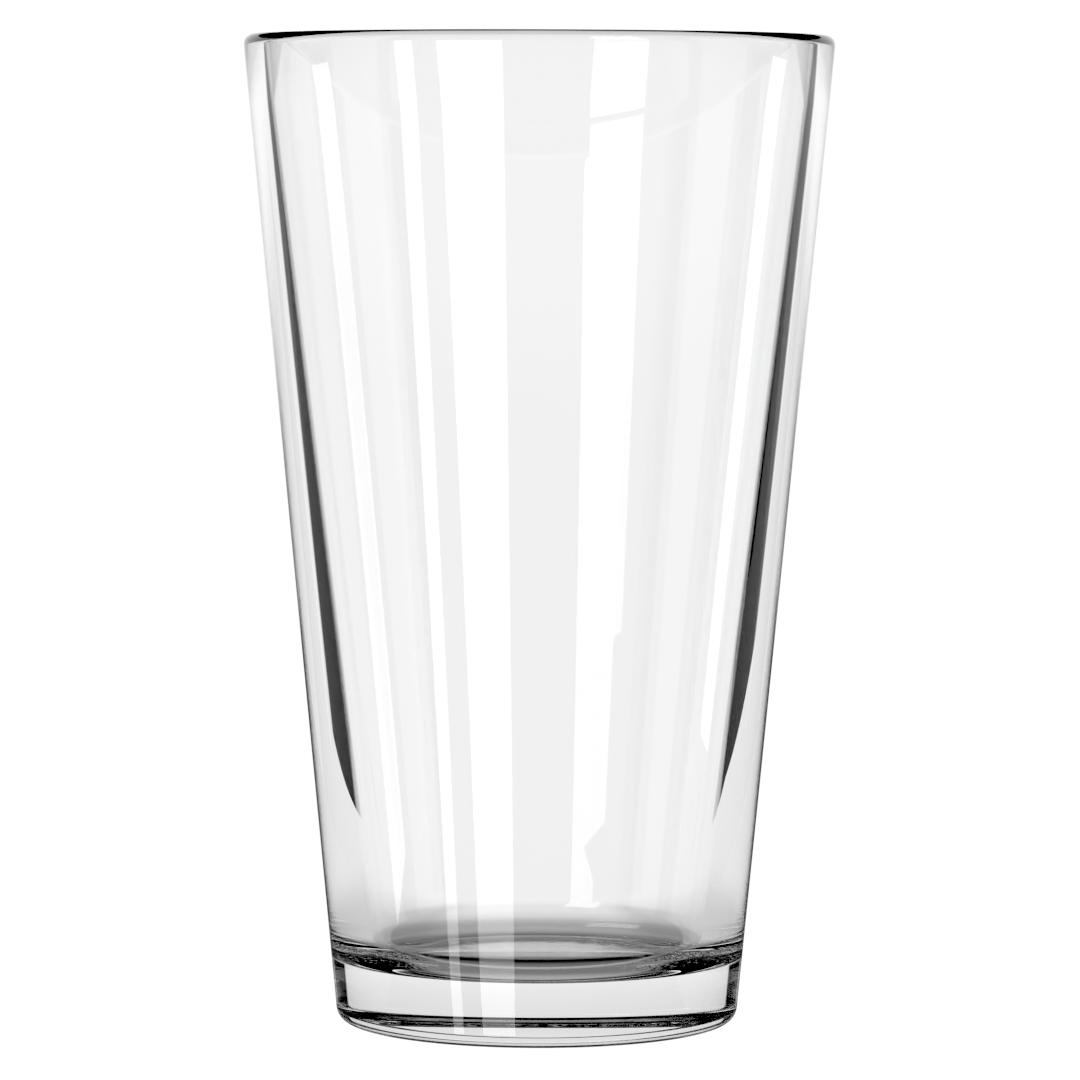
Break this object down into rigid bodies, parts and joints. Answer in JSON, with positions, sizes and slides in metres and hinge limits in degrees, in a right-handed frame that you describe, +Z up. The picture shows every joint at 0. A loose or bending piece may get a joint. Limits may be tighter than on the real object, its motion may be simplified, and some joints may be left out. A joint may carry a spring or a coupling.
{
  "type": "mixing glass",
  "caption": "Straight-sided conical bar glass with a rounded rim, a thick pressed foot and a wide mouth, for stirring or shaking drinks.",
  "frame": {"origin": "centre of the flat ring that the glass stands on", "axes": "+Z runs up the glass's own axis, out of the mouth; the glass is round, so +X and +Y may be turned to any side"},
  "size_m": [0.0888, 0.0888, 0.1492],
  "materials": {
    "glass": "clear, fire-polished, high gloss"
  },
  "bodies": {
    "root": {"mixing_glass": "glass"}
  },
  "joints": []
}
